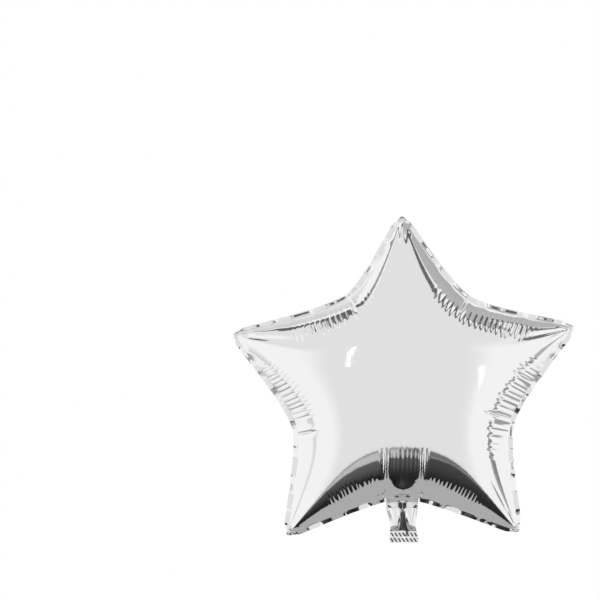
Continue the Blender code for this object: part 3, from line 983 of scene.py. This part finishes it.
print(len(STROKE_ROWS), "rows of strokes")

# %% Foil
foil = bpy.data.materials.new("silver_foil_film")
foil.use_nodes = True
foil_tree = foil.node_tree
foil_shader = foil_tree.nodes["Principled BSDF"]
place = object_place(foil_tree)
broad = place.node("ShaderNodeTexNoise", {}, {"Vector": place, "Scale": 22.0, "Detail": 3.0})
fine = place.node("ShaderNodeTexNoise", {}, {"Vector": place, "Scale": 180.0, "Detail": 2.0})
roughness = 0.055 + 0.05 * broad
stamped = stamped_strokes(place)
relief = DENT_DEPTH * fine - STROKE_DEPTH * stamped
bump = place.node("ShaderNodeBump", {}, {"Strength": 1.0, "Distance": 1.0, "Height": relief}, "Normal")
# A colour Mix node has its factor on socket 0, its two colours on 6 and 7, and its result on output 2
# Tinting the strokes dark paints their reflection into the foil's colour.
stroke_painted_reflection = place.node("ShaderNodeMix", {"data_type": "RGBA"}, {0: stamped, 6: FOIL_COLOUR, 7: STROKE_PAINTED_REFLECTION_COLOUR}, 2)
foil_tree.links.new(stroke_painted_reflection.socket, foil_shader.inputs["Base Color"])
foil_shader.inputs["Metallic"].default_value = 1.0
foil_tree.links.new(roughness.socket, foil_shader.inputs["Roughness"])
foil_tree.links.new(bump.socket, foil_shader.inputs["Normal"])
envelope_mesh.materials.append(foil)
print("foil:", len(foil_tree.nodes), "nodes")

# %% [markdown]
# The studio
#
# A mirror shows its surroundings, so the picture of a foil balloon is made by the studio. The
# surroundings here are white, a little greyer behind the camera, with a dark cloth spread below the
# star, which gives the dark crescent along its bottom, and a dark rail round the plane of the weld,
# which gives the fine dark line between the face and the shoulder. A textured world could hold all
# of it, but things with a place of their own are easier to move. They glow by themselves and are
# seen only in reflections, so they light and shade nothing.

# %% Things on the stage
def glow_material(name, level_rule):
    """A material that glows at the level that the rule gives for each place on the object."""
    material = bpy.data.materials.new(name)
    material.use_nodes = True
    tree = material.node_tree
    tree.nodes.clear()
    place = object_place(tree)
    glow = place.node("ShaderNodeEmission", {}, {"Strength": level_rule(place)})
    output = tree.nodes.new("ShaderNodeOutputMaterial")
    tree.links.new(glow.socket, output.inputs["Surface"])
    return material


def even_change(levels, near=-0.5, far=0.5):
    """A rule for a grey that changes from a card's near or lower edge to its far or upper one."""
    def level_rule(place):
        return levels[0] + (levels[1] - levels[0]) * place.axis(1).between(near, far)
    return level_rule


def stage_object(name, bm, material):
    """Puts a bmesh into the scene as a part of the stage."""
    mesh = bpy.data.meshes.new(name)
    bm.to_mesh(mesh)
    bm.free()
    mesh.materials.append(material)
    thing = bpy.data.objects.new(name, mesh)
    bpy.context.collection.objects.link(thing)
    return thing


def reflections_only(thing):
    """Hides a thing from the camera and keeps it from lighting or shading anything."""
    thing.visible_camera = False
    thing.visible_shadow = False
    thing.visible_diffuse = False


print("stage helpers ready")

# %% Dark cloth
CLOTH_DROP = 0.5            # from the star's centre down to the cloth
CLOTH_BACK = -0.156         # the cloth's straight back edge
CLOTH_MIDDLE = (0.03, -0.24)
CLOTH_SIDE = 1.0            # past the end of every piece
CLOTH_LAYER = 0.004         # from one piece up to the one on top of it
CLOTH_CORNERS = 96
CLOTH_CHANGE = 0.8          # share of its depth over which a piece changes its grey
# Side of the middle (left -1, right 1), half width, half depth, level in front and at the back,
# and layer
CLOTH_PIECES = {
    "cloth_left_rim": (-1, 0.375, 0.445, (0.25, 0.25), 0),
    "cloth_right_rim": (1, 0.345, 0.430, (0.15, 0.12), 0),
    "cloth_left_fold": (-1, 0.355, 0.400, (0.56, 0.50), 1),
    "cloth_right_fold": (1, 0.330, 0.320, (0.28, 0.28), 1),
    "cloth_left_dark": (-1, 0.345, 0.238, (0.10, 0.004), 2),
    "cloth_right_dark": (1, 0.320, 0.285, (0.06, 0.015), 2),
}


def cloth_piece(name, hand, half_width, half_depth, levels, layer):
    """A piece of cloth with a round front edge, trimmed at its sides and along its back."""
    bm = bmesh.new()
    bmesh.ops.create_circle(bm, cap_ends=True, segments=CLOTH_CORNERS, radius=0.5)
    bmesh.ops.scale(bm, verts=bm.verts, vec=(2.0 * half_width, 2.0 * half_depth, 1.0))
    bmesh.ops.translate(bm, verts=bm.verts, vec=(CLOTH_MIDDLE[0], CLOTH_MIDDLE[1], 0.0))
    left, right = sorted((CLOTH_MIDDLE[0], hand * CLOTH_SIDE))
    for limit, heading in ((left, (-1, 0, 0)), (right, (1, 0, 0)), (CLOTH_BACK, (0, 1, 0))):
        parts = bm.verts[:] + bm.edges[:] + bm.faces[:]
        point = [abs(share) * limit for share in heading]
        bmesh.ops.bisect_plane(bm, geom=parts, plane_co=point, plane_no=heading, clear_outer=True)
    bmesh.ops.translate(bm, verts=bm.verts, vec=(0.0, -CLOTH_BACK, 0.0))
    front = CLOTH_MIDDLE[1] - half_depth - CLOTH_BACK
    grey = even_change(levels, near=CLOTH_CHANGE * front, far=0.0)
    cloth = stage_object(name, bm, glow_material(name, grey))
    cloth.location = (0.0, CLOTH_BACK, STAR_HEIGHT - CLOTH_DROP + CLOTH_LAYER * layer)
    reflections_only(cloth)


for name, values in CLOTH_PIECES.items():
    cloth_piece(name, *values)
print("cloth:", list(CLOTH_PIECES))

# %% Card below the star
LOW_CARD_SIDES = (-1.3, 1.5)
LOW_CARD_BACK = 2.6
# Its grey by shares of its width from its middle: level there, then a dip, then a rise
LOW_LEVEL = 0.45
LOW_DIP, LOW_DIP_RUN = 0.08, (0.13, 0.17)
LOW_RISE, LOW_RISE_RUN = 0.60, (0.26, 0.40)


def make_card(name, level_rule, width, height):
    """A card of one width and height, lying level at the origin."""
    bm = bmesh.new()
    bmesh.ops.create_grid(bm, x_segments=1, y_segments=1, size=0.5)
    card = stage_object(name, bm, glow_material(name, level_rule))
    card.scale = (width, height, 1.0)
    reflections_only(card)
    return card


def low_grey(place):
    """Level of the low card: grey under the star, and pale at its sides."""
    aside = abs(place.axis(0))
    return LOW_LEVEL - LOW_DIP * aside.between(*LOW_DIP_RUN) + LOW_RISE * aside.between(*LOW_RISE_RUN)


low_left, low_right = LOW_CARD_SIDES
low_card = make_card("low_grey_card", low_grey, low_right - low_left, LOW_CARD_BACK - CLOTH_BACK)
low_middle = ((low_left + low_right) / 2.0, (CLOTH_BACK + LOW_CARD_BACK) / 2.0)
low_card.location = (*low_middle, STAR_HEIGHT - CLOTH_DROP)
print("the low card lies", CLOTH_DROP, "m under the star's centre")

# %% Cards and strips that face the star
# Heading from the star's centre, distance, width, height, and level of the lower and upper edge
GREY_CARDS = {
    "right_grey_card": ((0.62, 0.34, 0.80), 1.7, 1.5, 1.5, (0.46, 0.52)),
    "left_pale_card": ((-0.30, 0.60, 0.75), 1.9, 1.3, 1.5, (0.86, 0.68)),
}
# The strips that make the highlights have a turn in degrees as well
BRIGHT_STRIPS = {
    "left_strip": ((-0.39, -0.84, 0.335), 2.2, 0.036, 0.56, (1.9, 1.9), 3.0),
    "right_strip": ((0.65, -0.755, 0.0), 2.2, 0.075, 0.66, (1.0, 1.7), 12.0),
}


def face_card(name, heading, distance, width, height, levels):
    """A card that stands off in one heading from the star's centre and faces it."""
    card = make_card(name, even_change(levels), width, height)
    away = Vector(heading).normalized()
    card.location = away * distance + Vector((0.0, 0.0, STAR_HEIGHT))
    card.rotation_euler = away.to_track_quat("Z", "Y").to_euler()
    return card


for name, values in GREY_CARDS.items():
    face_card(name, *values)
for name, (*values, turn) in BRIGHT_STRIPS.items():
    strip = face_card(name, *values)
    strip.rotation_euler.rotate_axis("Z", math.radians(turn))
print("cards:", list(GREY_CARDS), "strips:", list(BRIGHT_STRIPS))

# %% [markdown]
# The dark rail
#
# The shoulder between the face and the weld mirrors what stands beside the star. In the photograph
# that gives a dark line and a grey band, which change from arm to arm. Flat cards would show a
# corner at each change. A ring round the star can change slowly all the way: it is a circle,
# extruded once, whose corners are moved to the height that a short table gives for their heading.
# The grey goes with them as an attribute, which the material reads.

# %% Stations of the rail
RAIL_RADIUS = 1.3
RAIL_CORNERS = 180
# Degrees clockwise from straight up, middle and half width in front of the weld's plane as shares
# of the radius, and level of grey
RAIL_STATIONS = np.array((
    (-150.0, 0.00, 0.20, 1.00),
    (-118.0, 0.00, 0.20, 0.55),
    (-104.0, 0.30, 0.06, 0.86),
    (-80.0, 0.30, 0.05, 0.86),
    (-60.0, 0.06, 0.05, 0.50),
    (-42.0, 0.02, 0.06, 0.34),
    (-32.0, 0.01, 0.08, 0.12),
    (0.0, 0.02, 0.09, 0.12),
    (20.0, 0.02, 0.09, 0.11),
    (32.0, 0.24, 0.10, 0.13),
    (45.0, 0.34, 0.10, 0.20),
    (70.0, 0.34, 0.07, 0.40),
    (82.0, 0.32, 0.06, 0.62),
    (93.0, 0.36, 0.06, 0.45),
    (103.0, 0.29, 0.06, 0.48),
    (108.0, 0.29, 0.09, 0.22),
    (114.0, 0.30, 0.08, 0.42),
    (122.0, 0.40, 0.05, 0.52),
    (150.0, 0.42, 0.06, 1.00),
))


def rail_values(turn):
    """Middle, half width and level of the rail, for degrees clockwise from straight up."""
    return [np.interp(turn, RAIL_STATIONS[:, 0], column) for column in RAIL_STATIONS[:, 1:].T]


print("at the top the rail's middle, half width and level are", np.round(rail_values(0.0), 2).tolist())

# %% Rail
def place_rail_corner(vert, outer, level_layer):
    """Moves a corner of the rail to its place in front of the weld's plane and gives it its grey."""
    middle, half, level = rail_values(math.degrees(math.atan2(vert.co.x, vert.co.z)))
    vert.co.y = -RAIL_RADIUS * (middle + half * (1.0 if outer else -1.0))
    vert[level_layer] = level


def rail_grey(place):
    """The level that the rail's corners carry."""
    return place.node("ShaderNodeAttribute", {"attribute_name": "level"}, {}, "Fac")


rail_bm = bmesh.new()
rail_layer = rail_bm.verts.layers.float.new("level")
upright = Matrix.Rotation(math.radians(90.0), 4, "X")
bmesh.ops.create_circle(rail_bm, cap_ends=False, segments=RAIL_CORNERS, radius=RAIL_RADIUS, matrix=upright)
walls = bmesh.ops.extrude_edge_only(rail_bm, edges=rail_bm.edges[:])["geom"]
raised = {part for part in walls if isinstance(part, bmesh.types.BMVert)}
for vert in rail_bm.verts:
    place_rail_corner(vert, vert in raised, rail_layer)
dark_rail = stage_object("dark_rail", rail_bm, glow_material("dark_rail", rail_grey))
dark_rail.location = (0.0, 0.0, STAR_HEIGHT)
reflections_only(dark_rail)
print("the rail stands", RAIL_RADIUS, "m from the star")

# %% [markdown]
# The floor
#
# The star hangs over a pale matt floor. A disc is enough. Towards its rim the floor turns into
# plain white light, so that it runs into the white backdrop with no edge. The foil doesn't mirror
# it, because the cloth, the low card and the pale sheets stand in for it there.

# %% Floor
FLOOR_LEVEL = -0.46
FLOOR_RADIUS = 2.0
FLOOR_CORNERS = 96
FLOOR_COLOUR = (0.86, 0.86, 0.86, 1.0)
FLOOR_ROUGHNESS = 0.7
FLOOR_FADING = (0.9, 1.9)       # from its middle, where it begins and ends to turn white
WHITE = (1.0, 1.0, 1.0, 1.0)

floor_material = bpy.data.materials.new("pale_floor")
floor_material.use_nodes = True
floor_tree = floor_material.node_tree
floor_shader = floor_tree.nodes["Principled BSDF"]
floor_shader.inputs["Base Color"].default_value = FLOOR_COLOUR
floor_shader.inputs["Roughness"].default_value = FLOOR_ROUGHNESS
floor_place = object_place(floor_tree)
from_middle = floor_place.node("ShaderNodeVectorMath", {"operation": "LENGTH"}, {0: floor_place}, "Value")
white_light = floor_place.node("ShaderNodeEmission", {}, {"Color": WHITE})
matt = Wire(floor_tree, floor_shader.outputs[0])
surfaces = {0: from_middle.between(*FLOOR_FADING), 1: matt, 2: white_light}
floor_mix = floor_place.node("ShaderNodeMixShader", {}, surfaces)
floor_tree.links.new(floor_mix.socket, floor_tree.nodes["Material Output"].inputs["Surface"])
floor_bm = bmesh.new()
bmesh.ops.create_circle(floor_bm, cap_ends=True, segments=FLOOR_CORNERS, radius=FLOOR_RADIUS)
floor = stage_object("floor", floor_bm, floor_material)
floor.location = (0.0, 0.0, FLOOR_LEVEL)
floor.visible_glossy = False
print("floor at", FLOOR_LEVEL)

# %% [markdown]
# The pale sheets
#
# The face of the star looks back past the camera, and what it mirrors there is a little darker
# than the backdrop, which gives the face its even light grey. Two sheets do that: one stands behind
# the camera and one lies between it and the star. Their grey is a formula of the direction in which
# the star sees them, so they meet without an edge, and it turns white to the sides, where the
# shoulders look.

# %% Pale sheets
SHEET_LEVEL = 0.84
SHEET_AWAY = 3.2
SHEET_WIDTH = 30.0
SHEET_HEIGHT = 34.0
SHEET_LIFT = 0.002          # from the floor up to the lying sheet
SHEET_SIDES = (0.58, 0.98)      # metres sideways for each metre forwards, where it begins and ends to pale
WIDER_FROM = 2.0            # height over which the grey part grows wider
WIDENING = 1.5
SHEET_ORIGIN = 0.05         # the sideways share is measured from this far behind the weld


def sheet_grey(place):
    """Level of the sheets: a light grey in the middle and white to the sides."""
    upwards = (place.axis(2) - WIDER_FROM).at_least(0.0)
    sideways = abs(place.axis(0) / (place.axis(1) - SHEET_ORIGIN - WIDENING * upwards))
    return SHEET_LEVEL + (1.0 - SHEET_LEVEL) * sideways.between(*SHEET_SIDES)


sheet_material = glow_material("pale_sheet", sheet_grey)
for name, turn, height in (("upright_sheet", 90.0, SHEET_HEIGHT), ("lying_sheet", 0.0, SHEET_AWAY)):
    bm = bmesh.new()
    bmesh.ops.create_grid(bm, x_segments=1, y_segments=1, size=0.5)
    bmesh.ops.scale(bm, verts=bm.verts, vec=(SHEET_WIDTH, height, 1.0))
    bmesh.ops.translate(bm, verts=bm.verts, vec=(0.0, height / 2.0, 0.0))
    bmesh.ops.rotate(bm, verts=bm.verts, matrix=Matrix.Rotation(math.radians(turn), 3, "X"))
    bmesh.ops.translate(bm, verts=bm.verts, vec=(0.0, -SHEET_AWAY, FLOOR_LEVEL + SHEET_LIFT))
    reflections_only(stage_object(name, bm, sheet_material))
print("sheets stand", SHEET_AWAY, "m in front")

# %% [markdown]
# World and lamp
#
# The world is plain white where the camera or a mirror looks at it, and a little dimmer where it
# lights the floor. One soft round lamp above the star gives the floor a faint shadow. The foil
# doesn't mirror the lamp, because the two strips make its highlights.

# %% World and lamp
WORLD_LEVEL = 0.75          # what the world gives to matt things
LAMP_SIZE = 0.9
LAMP_POWER = 6.0
LAMP_PLACE = (-0.3, -0.3, 1.9)
LAMP_TILT = math.radians(-9.0)      # about X and Y, which turns it to the star

world = bpy.data.worlds.new("white_studio")
bpy.context.scene.world = world
world.use_nodes = True
world_tree = world.node_tree
background = world_tree.nodes["Background"]
path = world_tree.nodes.new("ShaderNodeLightPath")
seen = Wire(world_tree, path.outputs["Is Camera Ray"]) + Wire(world_tree, path.outputs["Is Glossy Ray"])
seen = (seen + Wire(world_tree, path.outputs["Is Transmission Ray"])).between(0.0, 1.0)
world_level = WORLD_LEVEL + (1.0 - WORLD_LEVEL) * seen
background.inputs["Color"].default_value = WHITE
world_tree.links.new(world_level.socket, background.inputs["Strength"])

lamp_data = bpy.data.lights.new("top_light", "AREA")
lamp_data.shape = "DISK"
lamp_data.size = LAMP_SIZE
lamp_data.energy = LAMP_POWER
lamp = bpy.data.objects.new("top_light", lamp_data)
lamp.location = LAMP_PLACE
lamp.rotation_euler = (LAMP_TILT, LAMP_TILT, 0.0)
lamp.visible_glossy = False
bpy.context.collection.objects.link(lamp)
bpy.context.scene.view_settings.view_transform = "Standard"
print("world and lamp set")
